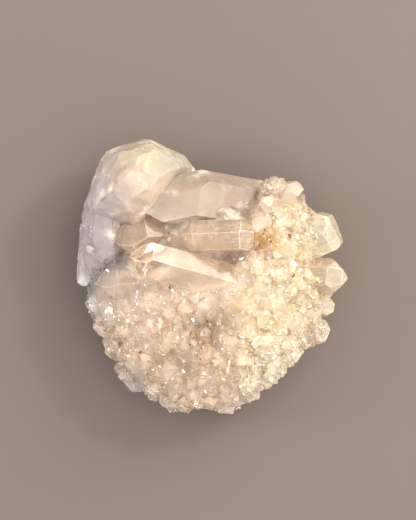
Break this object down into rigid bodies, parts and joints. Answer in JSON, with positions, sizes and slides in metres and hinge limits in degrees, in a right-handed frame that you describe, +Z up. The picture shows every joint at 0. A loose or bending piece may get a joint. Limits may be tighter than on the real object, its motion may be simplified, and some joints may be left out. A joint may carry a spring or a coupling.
{
  "type": "quartz cluster",
  "caption": "Hand-sized cluster of intergrown quartz crystals: a milky lump, large clear crystals and a dense druse on a domed mass, resting on a flat broken base.",
  "frame": {"origin": "on the flat underside that it rests on, under the middle of the domed mass", "axes": "+Z up from the resting face; +X and +Y as seen from above, with the milky lump towards -X and +Y"},
  "size_m": [0.0847, 0.0859, 0.042],
  "materials": {
    "quartz": "glossy, milky to clear"
  },
  "bodies": {
    "root": {"quartz_cluster": "quartz"}
  },
  "joints": []
}
